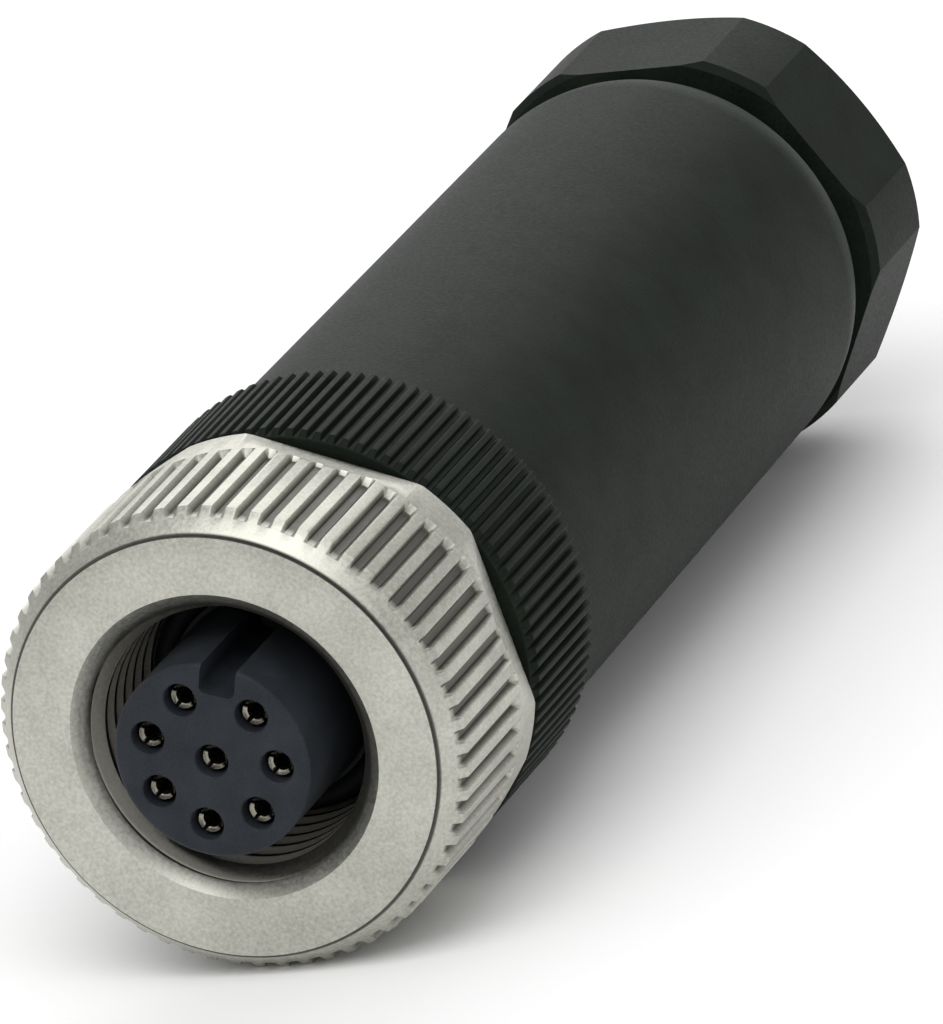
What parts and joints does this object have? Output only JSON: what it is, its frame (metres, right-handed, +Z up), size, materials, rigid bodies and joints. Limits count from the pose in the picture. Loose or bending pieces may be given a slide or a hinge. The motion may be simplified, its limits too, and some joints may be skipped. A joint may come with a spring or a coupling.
{
  "type": "circular m12 cable connector",
  "caption": "Straight round female connector with a knurled metal coupling nut, keyed contact insert, black plastic sleeve and a hexagonal cable gland nut.",
  "frame": {"origin": "centre of the contact insert's mating face, on the connector's axis", "axes": "+Y along the axis from the mating face to the cable end, +Z up as the connector lies on its side"},
  "size_m": [0.0197, 0.0604, 0.0196],
  "materials": {
    "nickel": "nickel-plated, satin",
    "steel": "bright",
    "contact": "gold-plated",
    "insert": "fine matt",
    "plastic": "fine matt",
    "rubber": "matt"
  },
  "bodies": {
    "carrier": {"grip_ring": "plastic", "contact_insert": "insert", "terminal_block": "insert", "terminal_screws": "steel", "coupling_seal": "rubber", "sleeve_seal": "rubber", "contact_1": "contact", "contact_2": "contact", "contact_3": "contact", "contact_4": "contact", "contact_5": "contact", "contact_6": "contact", "contact_7": "contact", "contact_8": "contact"},
    "retainer": {"snap_ring": "steel"},
    "coupling": {"coupling_nut": "nickel"},
    "seal": {"cable_seal": "rubber"},
    "sleeve": {"sleeve": "plastic"},
    "thrust": {"thrust_ring": "plastic"},
    "gland": {"pressure_nut": "plastic"}
  },
  "joints": [
    {"name": "coupling_spin", "type": "hinge", "parent": "carrier", "child": "retainer", "pos_m": [0, 0, 0], "axis": [0, 1, 0], "continuous": true},
    {"name": "coupling_float", "type": "slide", "parent": "retainer", "child": "coupling", "axis": [0, -1, 0], "range_m": [-0.00025, 0.00098]},
    {"name": "sleeve_travel", "type": "slide", "parent": "carrier", "child": "seal", "axis": [0, 1, 0], "range_m": [0, 0.006]},
    {"name": "sleeve_turn", "type": "hinge", "parent": "seal", "child": "sleeve", "pos_m": [0, 0, 0], "axis": [0, 1, 0], "range_deg": [0, 2160]},
    {"name": "gland_travel", "type": "slide", "parent": "sleeve", "child": "thrust", "axis": [0, 1, 0], "range_m": [-0.0007, 0.00564]},
    {"name": "gland_turn", "type": "hinge", "parent": "thrust", "child": "gland", "pos_m": [0, 0, 0], "axis": [0, 1, 0], "range_deg": [-178, 1440]}
  ],
  "couplings": [
    {"joint": "sleeve_travel", "follows": "sleeve_turn", "m_per_rad": 0.00015915},
    {"joint": "gland_travel", "follows": "gland_turn", "m_per_rad": 0.00022441}
  ]
}
